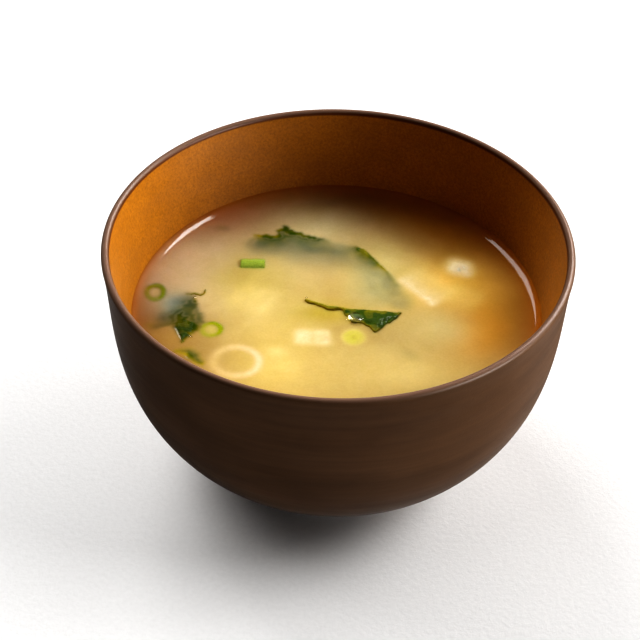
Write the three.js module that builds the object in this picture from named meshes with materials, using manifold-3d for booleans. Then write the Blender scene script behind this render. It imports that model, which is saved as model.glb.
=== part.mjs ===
// Miso soup in its turned and lacquered soup bowl: cloudy broth with wakame, scallion, leek and tofu.
// Millimetres, +Z up. The origin is the middle of the foot ring, on the table.

import * as THREE from "three";
import { mergeVertices } from "three/addons/utils/BufferGeometryUtils.js";
import { ConvexGeometry } from "three/addons/geometries/ConvexGeometry.js";
import Module from "manifold-3d";

// ---- Driving dimensions ----

const HEIGHT = 67; // table to rim
const RIM_RADIUS = 58;
const LIP = 2; // thickness of the wall at its rounded lip
const FOOT_RADIUS = 28.5;
const FOOT_HEIGHT = 3;
const FOOT_WIDTH = 3.2;
const FOOT_EASE = 0.5; // chamfer where the foot ring meets the table
const RECESS = 1.8; // how far the underside sits above the table
const FLOOR = 8.5; // table to the bottom of the hollow

const SOUP_BELOW_RIM = 22.7;
const MENISCUS_CLIMB = 1.2; // how far the broth climbs the wall
const MENISCUS_FALLOFF = 0.7; // the climb drops to 1/e over this distance from the wall
const MENISCUS_STEPS = [0.35, 0.8, 1.5, 2.6]; // distances from the wall

const GAP = 0.3; // between one solid and the next
const SEGMENTS = 80; // round the bowl and the broth
const CURVE_STEPS = 11; // along each long curve of the bowl's profile
const LEAF_MARGIN = 0.45; // room that a leaf's pocket leaves round its uneven outline
const POCKET_TOP = 4; // pockets are cut this far above the broth, so that all are open

const LEVEL = HEIGHT - SOUP_BELOW_RIM;
const LIP_Z = HEIGHT - LIP / 2; // where the round of the lip meets the walls

// ---- Materials ----

const material = (color, roughness) =>
  new THREE.MeshStandardMaterial({ color, roughness, metalness: 0 });

const lacquer = material(0x4a2d1c, 0.42);
const brothMatter = material(0xdcb765, 0.15);
const wakameGreen = material(0x35420c, 0.3);
const scallionGreen = material(0x7f9a2a, 0.4);
const paleStem = material(0xe6d98a, 0.4);
const tofuCream = material(0xf6e6b4, 0.5);

// ---- Bowl ----

// The outer wall runs from the lip to the foot ring, and the inner wall from the lip to the middle of the floor.
const outerWall = new THREE.CubicBezierCurve(
  new THREE.Vector2(RIM_RADIUS, LIP_Z),
  new THREE.Vector2(55.2, 47.4),
  new THREE.Vector2(61, 22.4),
  new THREE.Vector2(FOOT_RADIUS, FOOT_HEIGHT),
);
const innerWall = new THREE.CubicBezierCurve(
  new THREE.Vector2(RIM_RADIUS - LIP, LIP_Z),
  new THREE.Vector2(44.4, 2.8),
  new THREE.Vector2(32.5, FLOOR),
  new THREE.Vector2(0, FLOOR),
);

// Turns a profile, listed from the axis below to the axis above, about +Z.
function turned(profile) {
  return new THREE.LatheGeometry(profile, SEGMENTS).rotateX(Math.PI / 2);
}

function bowlGeometry() {
  const footInside = FOOT_RADIUS - FOOT_WIDTH;
  const foot = [
    [0, RECESS],
    [footInside - FOOT_EASE, RECESS],
    [footInside, 0],
    [FOOT_RADIUS - FOOT_EASE, 0],
    [FOOT_RADIUS, FOOT_EASE],
  ].map(([r, z]) => new THREE.Vector2(r, z));
  const lip = new THREE.EllipseCurve(RIM_RADIUS - LIP / 2, LIP_Z, LIP / 2, LIP / 2, 0, Math.PI);
  return turned([
    ...foot,
    ...outerWall.getPoints(CURVE_STEPS).reverse(),
    ...lip.getPoints(4).slice(1, -1),
    ...innerWall.getPoints(CURVE_STEPS),
  ]);
}

// ---- Broth ----

// The parameter of the inner wall's curve where it passes height z.
function innerWallAt(z) {
  let high = 0;
  let low = 1;
  for (let i = 0; i < 40; i++) {
    const mid = (high + low) / 2;
    if (innerWall.getPoint(mid).y > z) high = mid;
    else low = mid;
  }
  return high;
}

// A point of the inner wall, moved off the wood by the gap.
function besideWall(t) {
  const p = innerWall.getPoint(t);
  const along = innerWall.getTangent(t);
  return new THREE.Vector2(Math.max(p.x + along.y * GAP, 0), p.y - along.x * GAP);
}

function brothGeometry() {
  const contact = innerWallAt(LEVEL + MENISCUS_CLIMB);
  const steps = CURVE_STEPS - 2;
  const below = [];
  for (let i = 0; i < steps; i++) below.push(besideWall(1 - ((1 - contact) * i) / steps));
  below[0].x = 0;
  const edge = besideWall(contact);
  const meniscus = MENISCUS_STEPS.map(
    (d) => new THREE.Vector2(edge.x - d, LEVEL + MENISCUS_CLIMB * Math.exp(-d / MENISCUS_FALLOFF)),
  );
  const last = meniscus[meniscus.length - 1];
  last.y = LEVEL;
  return turned([...below, edge, ...meniscus, new THREE.Vector2(0, LEVEL)]);
}

// ---- Leaves ----

// A value between the entries of an evenly spaced list, eased from one to the next.
function between(list, u) {
  const x = Math.min(Math.max(u, 0), 1) * (list.length - 1);
  const i = Math.min(Math.floor(x), list.length - 2);
  const f = x - i;
  return THREE.MathUtils.lerp(list[i], list[i + 1], f * f * (3 - 2 * f));
}

// A leaf hangs from one crisp edge, a curve near the level of the broth, and reaches to its right, down into the
// broth. Heights count from the level. Both faces are grids of triangles split alike. With a margin, it is the
// pocket that the leaf lies in: wider all round, and open at the top.
function leafGeometry(leaf, margin = 0) {
  const { edge, reach, far, curl, frill, waves, teeth, thick, steps, rows } = leaf;
  const curve = new THREE.CatmullRomCurve3(edge.map((p) => new THREE.Vector3(...p)));
  const points = [];
  for (const side of [0, 1]) {
    for (let i = 0; i <= steps; i++) {
      const u = i / steps;
      const onEdge = curve.getPoint(u);
      const along = curve.getTangent(u).setZ(0).normalize();
      const inward = new THREE.Vector3(along.y, -along.x, 0);
      const past = i === 0 ? -margin : i === steps ? margin : 0;
      const bite = teeth * Math.sin(u * waves * 9 + Math.sin(u * waves * 5));
      const width = between(reach, u) + bite;
      for (let j = 0; j <= rows; j++) {
        const v = j / rows;
        const across = v * width + (j === 0 ? -margin : j === rows ? margin : 0);
        const wave = frill * Math.sin(u * waves * 2 * Math.PI + v * 2) * (0.4 + 0.6 * v);
        const z =
          THREE.MathUtils.lerp(onEdge.z, between(far, u), v) + curl * Math.sin(v * Math.PI) + wave;
        const lift = side === 1 ? thick / 2 : -thick / 2 - margin;
        const p = onEdge.clone().addScaledVector(along, past).addScaledVector(inward, across);
        points.push(p.x, p.y, side === 1 && margin > 0 ? POCKET_TOP : z + lift);
      }
    }
  }
  const at = (side, i, j) => (side * (steps + 1) + i) * (rows + 1) + j;
  const faces = [];
  const quad = (a, b, c, d) => faces.push(a, b, c, a, c, d);
  for (let i = 0; i < steps; i++) {
    for (let j = 0; j < rows; j++) {
      quad(at(1, i, j), at(1, i, j + 1), at(1, i + 1, j + 1), at(1, i + 1, j));
      faces.push(at(0, i, j), at(0, i + 1, j + 1), at(0, i, j + 1));
      faces.push(at(0, i, j), at(0, i + 1, j), at(0, i + 1, j + 1));
    }
    quad(at(0, i, 0), at(1, i, 0), at(1, i + 1, 0), at(0, i + 1, 0));
    quad(at(0, i, rows), at(0, i + 1, rows), at(1, i + 1, rows), at(1, i, rows));
  }
  for (let j = 0; j < rows; j++) {
    quad(at(0, 0, j), at(0, 0, j + 1), at(1, 0, j + 1), at(1, 0, j));
    quad(at(0, steps, j), at(1, steps, j), at(1, steps, j + 1), at(0, steps, j + 1));
  }
  const geometry = new THREE.BufferGeometry();
  geometry.setAttribute("position", new THREE.Float32BufferAttribute(points, 3));
  geometry.setIndex(faces);
  return geometry;
}

// Points of an edge are [x, y, height above the broth]. reach, and the height of the far edge, are listed evenly
// along it.
const LEAVES = {
  wakame_ribbon: {
    edge: [
      [-23, 29.4, 0.5],
      [-14.5, 32.4, 1.3],
      [-4, 29, 0.4],
      [6, 24.2, 0.6],
      [12.6, 15.8, 0.6],
      [16.4, 9.4, 0.3],
    ],
    reach: [2.4, 6.2, 5, 4.4, 4.2, 1.2],
    far: [-0.5, -1.5, -1.6, -1.5, -1.2, -0.2],
    curl: 0.3,
    frill: 0.3,
    waves: 5,
    teeth: 0.35,
    thick: 0.6,
    steps: 34,
    rows: 4,
  },
  wakame_flap: {
    edge: [
      [-8, 3.6, 0.3],
      [-2.6, 0.9, 0.5],
      [5, -0.7, 0.9],
      [12, -1.6, 1],
      [16.6, -0.6, 0.5],
    ],
    reach: [0.6, 0.9, 1.1, 1.4, 3.6, 5.4, 6.2, 2.6, 0.4],
    far: [0.1, 0.2, 0.3, 0.4, 0.2, 0, 0, 0.2, 0.3],
    curl: 0.25,
    frill: 0.12,
    waves: 3,
    teeth: 0.15,
    thick: 0.6,
    steps: 26,
    rows: 4,
  },
  wakame_clump: {
    edge: [
      [-36.9, 6.4, 0.1],
      [-35.9, 2.4, 0.7],
      [-35.2, -2.4, 0.7],
      [-35.4, -7, 0.9],
      [-37.6, -13.4, 0.4],
    ],
    reach: [2.6, 6.4, 8.8, 6.4, 2.4, 0.8],
    far: [-0.6, -1.2, -1.6, -0.6, -0.1, 0.1],
    curl: 0.5,
    frill: 0.3,
    waves: 3,
    teeth: 0.3,
    thick: 0.6,
    steps: 22,
    rows: 5,
  },
  wakame_scrap: {
    edge: [
      [-40.4, -16.6, 0.4],
      [-37.6, -15.8, 0.8],
      [-34.2, -17.2, 0.9],
      [-32, -20.6, 0.4],
    ],
    reach: [0.9, 2, 2.2, 1.4],
    far: [0, -0.2, 0.2, 0.2],
    curl: 0.5,
    frill: 0.15,
    waves: 2,
    teeth: 0.15,
    thick: 0.6,
    steps: 14,
    rows: 3,
  },
};

// The clump's thin curled tip, joined to its leaf.
const TENDRIL = {
  edge: [
    [-38.6, 4.4, 0],
    [-35.8, 5.9, 0.5],
    [-33.2, 7.5, 0.7],
  ],
  reach: [1.2, 0.9, 0.5],
  far: [-0.3, 0.2, 0.5],
  curl: 0,
  frill: 0,
  waves: 0,
  teeth: 0,
  thick: 0.6,
  steps: 8,
  rows: 2,
};

// ---- Cut rings of scallion and leek ----

// radius is the outside one and wall the thickness of the tube that was sliced. The ring's own middle is its origin.
const RINGS = {
  scallion_ring_rim: { radius: 2.9, wall: 0.8, height: 2.2, oval: 1.08, at: [-46.4, 5.4, 0.3], tilt: [6, -4] },
  scallion_ring_leaning: { radius: 2.9, wall: 0.75, height: 2, oval: 1, at: [-30.6, -8.9, 0.5], tilt: [12, 14] },
  scallion_pale: { radius: 3.2, wall: 2.1, height: 2.6, oval: 1.04, at: [4.2, -10.1, 0.1], tilt: [4, 2] },
  leek_ring: { radius: 6.4, wall: 0.9, height: 1.8, oval: 1.02, at: [-24.1, -20, -0.5], tilt: [1, -1] },
};

function ringGeometry({ radius, wall, height, oval }, margin = 0) {
  const outer = radius + margin;
  const inner = radius - wall - margin;
  const bottom = -height / 2 - margin;
  const top = margin > 0 ? height / 2 + POCKET_TOP : height / 2;
  const ease = margin > 0 ? 0 : Math.min(wall, height) / 4;
  const section = [
    [outer, bottom + ease],
    [outer, top - ease],
    [outer - ease, top],
    [inner + ease, top],
    [inner, top - ease],
    [inner, bottom + ease],
    [inner + ease, bottom],
    [outer - ease, bottom],
    [outer, bottom + ease],
  ];
  const facets = radius > 4 ? 36 : 24;
  return new THREE.LatheGeometry(
    section.map(([r, z]) => new THREE.Vector2(r, z)),
    facets,
  )
    .rotateX(Math.PI / 2)
    .scale(oval, 1 / oval, 1);
}

// A short length of scallion that lies on its side, pressed a little flat, its ends hollowed by a dimple.
const TUBE = { length: 6.3, wide: 3.4, tall: 2.7, dimple: 0.9, wall: 0.55, facets: 20, at: [-22, 17.4, 0.25], turn: 2 };

function tubeGeometry(margin = 0) {
  const { length, wide, dimple, wall, facets, tall } = TUBE;
  const half = length / 2 + margin;
  const radius = wide / 2 + margin;
  const hollow = margin > 0 ? 0 : dimple;
  const bore = wide / 2 - wall;
  const profile = [
    [0, -half + hollow],
    [bore, -half + hollow],
    [bore, -half],
    [radius, -half],
    [radius, half],
    [bore, half],
    [bore, half - hollow],
    [0, half - hollow],
  ].map(([r, x]) => new THREE.Vector2(r, x));
  return new THREE.LatheGeometry(profile, facets)
    .rotateZ(-Math.PI / 2)
    .scale(1, 1, (tall + 2 * margin) / (wide + 2 * margin));
}

// ---- Tofu ----

// Hand-cut blocks: along and across are the sides of the top, skew how far its corners stray from a rectangle.
// turn is about +Z. tilt raises the long side that faces the front.
const TOFU = {
  tofu_front: { along: 9.6, across: 6.6, deep: 8, skew: 0.5, at: [-5.7, -10.2, -3.8], turn: 2, tilt: 0 },
  tofu_edge: { along: 13.2, across: 10.5, deep: 8.5, skew: 0.6, at: [23.1, 11.2, -5.2], turn: -46.5, tilt: -16 },
  tofu_right: { along: 9, across: 6.8, deep: 7, skew: 0.7, at: [34.2, 18.4, -2.9], turn: -14, tilt: -9 },
};
const TOFU_EASE = 0.7; // radius of the worn edges

function tofuCorners({ along, across, skew }, margin) {
  const a = along / 2 + margin;
  const b = across / 2 + margin;
  return [
    [-a, -b + skew],
    [a - skew, -b],
    [a, b - skew / 2],
    [-a + skew, b],
  ];
}

function tofuGeometry(block) {
  const corners = tofuCorners(block, -TOFU_EASE).map(([x, y]) => new THREE.Vector2(x, y));
  return new THREE.ExtrudeGeometry(new THREE.Shape(corners), {
    depth: block.deep - 2 * TOFU_EASE,
    bevelThickness: TOFU_EASE,
    bevelSize: TOFU_EASE,
    bevelSegments: 2,
    steps: 1,
  }).translate(0, 0, TOFU_EASE - block.deep / 2);
}

// ---- Solids: joins and cuts ----

const wasm = await Module();
wasm.setup();

// A closed mesh with its shared points merged, as a solid.
function solidOf(geometry) {
  const bare = geometry.clone();
  bare.deleteAttribute("normal");
  bare.deleteAttribute("uv");
  const merged = mergeVertices(bare, 1e-4);
  return new wasm.Manifold(
    new wasm.Mesh({
      numProp: 3,
      vertProperties: merged.attributes.position.array,
      triVerts: new Uint32Array(merged.index.array),
    }),
  );
}

function geometryOf(solid) {
  const { vertProperties, triVerts } = solid.getMesh();
  const geometry = new THREE.BufferGeometry();
  geometry.setAttribute("position", new THREE.BufferAttribute(vertProperties, 3));
  geometry.setIndex(new THREE.BufferAttribute(triVerts, 1));
  return geometry;
}

// ---- The group ----

const soup = new THREE.Group();
const surface = new THREE.Group(); // the level of the broth, which what floats in it is placed from
surface.position.z = LEVEL;
soup.add(surface);

const pockets = []; // what is cut out of the broth, placed as the piece is

function addPiece(name, geometry, pocket, matter, at = [0, 0, 0], turns = [0, 0, 0]) {
  const piece = new THREE.Mesh(geometry, matter);
  piece.name = name;
  piece.position.set(...at);
  piece.rotation.set(...turns.map(THREE.MathUtils.degToRad), "ZYX");
  surface.add(piece);
  piece.updateWorldMatrix(true, false);
  pockets.push(pocket(piece.matrixWorld));
}

for (const [name, leaf] of Object.entries(LEAVES)) {
  const joined = name === "wakame_clump" ? [leaf, TENDRIL] : [leaf];
  const together = (margin) =>
    joined.map((part) => solidOf(leafGeometry(part, margin))).reduce((a, b) => a.add(b));
  addPiece(name, geometryOf(together(0)), (world) => geometryOf(together(LEAF_MARGIN)).applyMatrix4(world), wakameGreen);
}

for (const [name, ring] of Object.entries(RINGS)) {
  const matter = ring.radius > 3 ? paleStem : scallionGreen;
  const pocket = (world) => ringGeometry(ring, GAP).applyMatrix4(world);
  addPiece(name, ringGeometry(ring), pocket, matter, ring.at, [...ring.tilt, 0]);
}

// A pocket round a convex piece: the piece's grown corners, and the same corners raised clear of the broth.
function openPocket(corners, world) {
  const low = corners.map((p) => p.clone().applyMatrix4(world));
  const high = low.map((p) => p.clone().setZ(LEVEL + POCKET_TOP));
  return new ConvexGeometry([...low, ...high]);
}

const tubeCorners = () => {
  const position = tubeGeometry(GAP).attributes.position;
  return Array.from({ length: position.count }, (_, i) => new THREE.Vector3().fromBufferAttribute(position, i));
};
addPiece(
  "scallion_tube",
  tubeGeometry(),
  (world) => openPocket(tubeCorners(), world),
  scallionGreen,
  TUBE.at,
  [0, 0, TUBE.turn],
);

for (const [name, block] of Object.entries(TOFU)) {
  const corners = [-1, 1].flatMap((end) =>
    tofuCorners(block, GAP).map(([x, y]) => new THREE.Vector3(x, y, end * (block.deep / 2 + GAP))),
  );
  const pocket = (world) => openPocket(corners, world);
  addPiece(name, tofuGeometry(block), pocket, tofuCream, block.at, [block.tilt, 0, block.turn]);
}

const bowl = new THREE.Mesh(bowlGeometry(), lacquer);
bowl.name = "bowl";
soup.add(bowl);

const cut = pockets.map(solidOf).reduce((left, pocket) => left.subtract(pocket), solidOf(brothGeometry()));
const broth = new THREE.Mesh(geometryOf(cut), brothMatter);
broth.name = "broth";
soup.add(broth);

export default soup;
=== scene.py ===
# %% [markdown]
# # A bowl of miso soup
#
# Miso soup is a cloudy broth in a deep, turned and lacquered wooden bowl. Leaves of wakame, cut
# scallion and leek, and blocks of tofu float in it or lie just under its surface. The shapes and
# sizes come from a imported model that fixes where everything is. This lesson makes the finer
# forms over it, and the finishes: two lacquers, a wet cloudy liquid, and moist food.
#
# The imported model is loaded first.

# %% Load the imported model
import math

import bmesh
import bpy
import numpy as np
from mathutils import Euler, Matrix, Vector, noise
from mathutils.bvhtree import BVHTree


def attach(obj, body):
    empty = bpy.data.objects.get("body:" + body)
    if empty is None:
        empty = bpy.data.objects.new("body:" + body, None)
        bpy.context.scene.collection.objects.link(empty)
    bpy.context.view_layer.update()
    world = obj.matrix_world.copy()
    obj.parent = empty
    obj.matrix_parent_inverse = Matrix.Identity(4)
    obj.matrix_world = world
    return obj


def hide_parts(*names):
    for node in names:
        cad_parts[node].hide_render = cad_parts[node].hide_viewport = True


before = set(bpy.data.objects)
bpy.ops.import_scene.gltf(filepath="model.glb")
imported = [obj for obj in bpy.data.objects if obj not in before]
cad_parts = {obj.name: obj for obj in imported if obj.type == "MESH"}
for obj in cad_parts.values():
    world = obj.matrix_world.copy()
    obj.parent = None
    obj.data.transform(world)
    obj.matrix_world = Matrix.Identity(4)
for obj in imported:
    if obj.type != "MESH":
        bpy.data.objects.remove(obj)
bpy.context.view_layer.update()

print("packed pieces:", ", ".join(sorted(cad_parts)))

# %% [markdown]
# ## Working in millimetres
#
# Tableware is drawn in millimetres, and Blender counts in metres. Every size in this lesson is in
# millimetres, and one helper turns lists of points and faces into a mesh in metres. It also does
# the bookkeeping: the piece rides on the body it belongs to, takes the finish it is given, and may
# stand for a simpler solid of the imported model.

# %% A helper that makes a piece
MM = 0.001
pieces = []


def carry_paint(mesh, paint, name="paint"):
    """Store one colour for each point of the mesh, under that name."""
    full = np.column_stack([np.clip(paint, 0, 1), np.ones(len(paint))])
    mesh.attributes.new(name, "FLOAT_COLOR", "POINT").data.foreach_set("color", full.ravel())


def add_piece(name, points, faces, finish, slot, stands_for=(), paint=None):
    """A smooth closed mesh from points in millimetres, which rides on the one body of the bowl."""
    mesh = bpy.data.meshes.new(name)
    mesh.from_pydata((np.asarray(points) * MM).tolist(), [], faces)
    mesh.shade_smooth()
    mesh.materials.append(finish)
    piece = bpy.data.objects.new(name, mesh)
    bpy.context.scene.collection.objects.link(piece)
    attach(piece, "root")
    if stands_for:
        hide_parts(*stands_for)
    if paint is not None:
        carry_paint(mesh, paint)
    pieces.append(piece)
    print(f"{name}: {len(mesh.vertices)} points, {len(mesh.polygons)} faces")
    return piece


# %% [markdown]
# ## Building materials from nodes
#
# A finish is a small graph of nodes that ends in a Principled shader, and a few helpers keep the
# graphs short to write. One makes the material and sets plain numbers straight on the shader's
# sockets. Others make noise, which may be stretched along an axis to give streaks, turn a value
# into colours or into another range, mix two colours, read what the mesh carries, and add relief.
# Colours are written as a paint program shows them, from 0 to 255, and are turned into the linear
# light that the shader counts in.


# %% Helpers for materials
def colour(red, green, blue):
    """A colour of a paint program as linear light."""
    shares = (value / 255 for value in (red, green, blue))
    return tuple(s / 12.92 if s < 0.04045 else ((s + 0.055) / 1.055) ** 2.4 for s in shares)


def new_finish(name, **sockets):
    """A material, its node tree and its shader. Underscores in a socket's name stand for spaces."""
    finish = bpy.data.materials.new(name)
    finish.use_nodes = True
    shader = finish.node_tree.nodes["Principled BSDF"]
    for socket, value in sockets.items():
        shader.inputs[socket.replace("_", " ")].default_value = value
    return finish, finish.node_tree, shader


def add_noise(tree, size, stretch=(1, 1, 1), detail=3, roughness=0.5, distortion=0.0):
    """Noise with features of about size millimetres, stretched by that much along X, Y and Z."""
    place = tree.nodes.new("ShaderNodeTexCoord")
    scaling = tree.nodes.new("ShaderNodeMapping")
    scaling.inputs["Scale"].default_value = [1 / (size * MM * s) for s in stretch]
    texture = tree.nodes.new("ShaderNodeTexNoise")
    texture.inputs["Scale"].default_value = 1
    texture.inputs["Detail"].default_value = detail
    texture.inputs["Roughness"].default_value = roughness
    texture.inputs["Distortion"].default_value = distortion
    tree.links.new(place.outputs["Object"], scaling.inputs["Vector"])
    tree.links.new(scaling.outputs["Vector"], texture.inputs["Vector"])
    return texture.outputs["Fac"]


def add_ramp(tree, value, stops):
    """Colours for a value between 0 and 1, from a list of (place, colour)."""
    ramp = tree.nodes.new("ShaderNodeValToRGB")
    while len(ramp.color_ramp.elements) < len(stops):
        ramp.color_ramp.elements.new(0.5)
    for element, (place, paint) in zip(ramp.color_ramp.elements, stops):
        element.position = place
        element.color = (*paint, 1)
    tree.links.new(value, ramp.inputs["Fac"])
    return ramp.outputs["Color"]


def add_range(tree, value, old, new):
    """A value that runs over the old range, eased to run over the new one."""
    change = tree.nodes.new("ShaderNodeMapRange")
    for socket, number in zip(("From Min", "From Max", "To Min", "To Max"), (*old, *new)):
        change.inputs[socket].default_value = number
    tree.links.new(value, change.inputs["Value"])
    return change.outputs["Result"]


def add_mix(tree, share, first, second, kind="MIX"):
    """Two colours mixed. The share, and each colour, is a plain value or another node's output."""
    mixing = tree.nodes.new("ShaderNodeMix")
    mixing.data_type = "RGBA"
    mixing.blend_type = kind
    for socket, given in ((0, share), (6, first), (7, second)):
        if isinstance(given, bpy.types.NodeSocket):
            tree.links.new(given, mixing.inputs[socket])
        else:
            mixing.inputs[socket].default_value = (*given, 1) if isinstance(given, tuple) else given
    return mixing.outputs[2]


def add_attribute(tree, name, output):
    """What a mesh carries at each of its points under that name."""
    reading = tree.nodes.new("ShaderNodeAttribute")
    reading.attribute_name = name
    return reading.outputs[output]


def add_bump(tree, shader, height, depth):
    """Fine relief, depth millimetres deep, that only the light sees."""
    bump = tree.nodes.new("ShaderNodeBump")
    bump.inputs["Distance"].default_value = depth * MM
    bump.inputs["Strength"].default_value = 1
    tree.links.new(height, bump.inputs["Height"])
    tree.links.new(bump.outputs["Normal"], shader.inputs["Normal"])


# %% [markdown]
# ## The bowl's form
#
# The real bowl is turned on a lathe from one block of wood, thin at the lip and on a low foot ring.
# A turned thing is made by drawing half of its section and spinning it about the axis. Blender has
# a Screw modifier for that, but spinning the section in code lets every point remember how far it
# lies from the lip, measured along the section. The two lacquers, which meet at the lip, need it.
#
# Each wall is one long curve with four handles, so it has no flat or lumpy places.

# %% Sizes of the bowl
HEIGHT = 67
RIM_RADIUS = 58
LIP = 2
FOOT_RADIUS = 28.5
FOOT_HEIGHT = 3
FOOT_WIDTH = 3.2
FOOT_EASE = 0.5
RECESS = 1.8
FLOOR = 8.5
LIP_Z = HEIGHT - LIP / 2


def handle_curve(handles, steps):
    """Points along the curve that four handles give, its two ends included."""
    t = np.linspace(0, 1, steps + 1)[:, None]
    a, b, c, d = (np.array(handle, float) for handle in handles)
    return (1 - t) ** 3 * a + 3 * (1 - t) ** 2 * t * b + 3 * (1 - t) * t**2 * c + t**3 * d


OUTER_WALL = ((RIM_RADIUS, LIP_Z), (55.2, 47.4), (61, 22.4), (FOOT_RADIUS, FOOT_HEIGHT))
INNER_WALL = ((RIM_RADIUS - LIP, LIP_Z), (44.4, 2.8), (32.5, FLOOR), (0, FLOOR))


# %% Spin a section about the axis
def turned(section, around):
    """Points and faces of a section that starts and ends on the axis, spun in that many steps."""
    angles = np.arange(around) * 2 * math.pi / around
    rings = section[1:-1]
    points = np.empty((len(rings), around, 3))
    points[..., 0] = rings[:, :1] * np.cos(angles)
    points[..., 1] = rings[:, :1] * np.sin(angles)
    points[..., 2] = rings[:, 1:]
    ends = [(0, 0, section[0][1]), (0, 0, section[-1][1])]
    first, last = points[..., 0].size, points[..., 0].size + 1
    faces = []
    for i in range(around):
        j = (i + 1) % around
        faces.append((first, j, i))
        for k in range(len(rings) - 1):
            low, high = k * around, (k + 1) * around
            faces.append((low + i, low + j, high + j, high + i))
        top = (len(rings) - 1) * around
        faces.append((last, top + i, top + j))
    return np.vstack([points.reshape(-1, 3), ends]), faces


def length_along(section):
    """How far along the section each of its points lies."""
    return np.concatenate([[0], np.cumsum(np.linalg.norm(np.diff(section, axis=0), axis=1))])


# %% The bowl's section
foot_inside = FOOT_RADIUS - FOOT_WIDTH
underside = [(r, RECESS) for r in np.linspace(0, foot_inside - FOOT_EASE, 12)]
foot = [(foot_inside - 0.1, 0.25), (foot_inside + 0.2, 0), (FOOT_RADIUS - FOOT_EASE, 0)]
foot += [(FOOT_RADIUS - 0.15, 0.15), (FOOT_RADIUS, FOOT_EASE), (FOOT_RADIUS, FOOT_HEIGHT - 0.3)]
lip_turns = np.linspace(0, math.pi, 17)[1:-1]
lip = [(RIM_RADIUS - LIP / 2 + LIP / 2 * math.cos(a), LIP_Z + LIP / 2 * math.sin(a)) for a in lip_turns]
outer = handle_curve(OUTER_WALL, 64)[::-1]
inner = handle_curve(INNER_WALL, 64)
bowl_section = np.vstack([underside, foot, outer, lip, inner])
lip_top = len(underside) + len(foot) + len(outer) + len(lip) // 2
from_lip = length_along(bowl_section)
from_lip -= from_lip[lip_top]
print("the section is", round(float(from_lip[-1] - from_lip[0]), 1), "mm long")

# %% [markdown]
# ## Two lacquers
#
# The outside is a dark brown lacquer, rubbed to a satin, with the grain of the turned wood faintly
# in it. The inside is an amber lacquer, clear and warm, with a fine speckle. Both could be painted
# as images, but noise has no seam, and it can be stretched: long along the turning and short
# across it, as a lathe leaves it. The distance from the lip, carried by the mesh, says which
# lacquer shows, with a thin dark line where the amber was brought up against the brown. The lip
# itself is smoother than the rest and painted paler, a painted highlight along it. A little sheen
# in the shader gives the wall the greyish veil that satin lacquer shows where it turns away from
# the eye.

# %% Lacquer
LINE_AT = 1.3
LINE_WIDTH = 0.5
# How far the lip's band of painted highlight and smoother lacquer reaches to each side of its top.
LIP_BAND = 1.05
BROWN_LOW = colour(86, 61, 40)
BROWN_HIGH = colour(95, 68, 45)
WOOD_GRAIN = colour(72, 50, 32)
AMBER_LOW = colour(139, 88, 15)
AMBER_HIGH = colour(168, 108, 20)
AMBER_MOTTLE = colour(132, 83, 14)
DARK_LINE = colour(84, 44, 10)
# A painted highlight: paler paint along the lip.
PAINTED_LIP_HIGHLIGHT = colour(122, 95, 79)
POLISH = 0.25


def lacquer_finish():
    """Brown outside, amber inside, with a dark line between them and a smoother lip painted paler, a painted
    highlight.
    """
    finish, tree, shader = new_finish(
        "lacquer", IOR=1.45, Specular_IOR_Level=0.15, Sheen_Weight=0.1, Sheen_Roughness=0.35
    )
    distance = add_attribute(tree, "from_lip", "Fac")
    turning = add_noise(tree, 1.6, stretch=(26, 26, 1), detail=4, roughness=0.6)
    wood = add_noise(tree, 9, stretch=(2.5, 2.5, 1), detail=4)
    brown = add_ramp(tree, turning, [(0.3, BROWN_LOW), (0.7, BROWN_HIGH)])
    brown = add_mix(tree, add_range(tree, wood, (0.35, 0.7), (0, 0.6)), brown, WOOD_GRAIN)
    speckle = add_noise(tree, 0.65, detail=3, roughness=0.75)
    mottle = add_noise(tree, 7, detail=4, roughness=0.6)
    amber = add_ramp(tree, speckle, [(0.36, AMBER_LOW), (0.64, AMBER_HIGH)])
    amber = add_mix(tree, add_range(tree, mottle, (0.35, 0.7), (0, 0.35)), amber, AMBER_MOTTLE)
    line = add_ramp(
        tree,
        add_range(tree, distance, (LINE_AT - 2 * LINE_WIDTH, LINE_AT + 2 * LINE_WIDTH), (0, 1)),
        [(0.28, (0, 0, 0)), (0.42, (1, 1, 1)), (0.6, (1, 1, 1)), (0.8, (0, 0, 0))],
    )
    inside = add_range(tree, distance, (LINE_AT, LINE_AT + 0.3), (0, 1))
    paint = add_mix(tree, inside, brown, amber)
    paint = add_mix(tree, line, paint, DARK_LINE)
    # The lip's band carries the painted highlight and the smoother lacquer.
    lip_highlight_and_polish = add_ramp(
        tree,
        add_range(tree, distance, (-LIP_BAND, LIP_BAND), (0, 1)),
        [(0.0, (0, 0, 0)), (0.3, (1, 1, 1)), (0.75, (1, 1, 1)), (1.0, (0, 0, 0))],
    )
    paint = add_mix(tree, lip_highlight_and_polish, paint, PAINTED_LIP_HIGHLIGHT)
    tree.links.new(paint, shader.inputs["Base Color"])
    satin = add_range(tree, add_noise(tree, 4, stretch=(6, 6, 1)), (0.3, 0.7), (0.36, 0.5))
    polished = add_mix(tree, lip_highlight_and_polish, satin, (POLISH, POLISH, POLISH))
    tree.links.new(polished, shader.inputs["Roughness"])
    add_bump(tree, shader, add_mix(tree, 0.5, turning, speckle), 0.05)
    return finish


lacquer = lacquer_finish()

# %% Turn the bowl
BOWL_AROUND = 288
bowl_points, bowl_faces = turned(bowl_section, BOWL_AROUND)
bowl = add_piece("bowl_turned", bowl_points, bowl_faces, lacquer, "lacquer", ["bowl"])
distances = np.concatenate([np.repeat(from_lip[1:-1], BOWL_AROUND), from_lip[[0, -1]]])
bowl.data.attributes.new("from_lip", "FLOAT", "POINT").data.foreach_set("value", distances)
print("rim", 2 * RIM_RADIUS, "mm across,", HEIGHT, "mm high")

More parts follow.
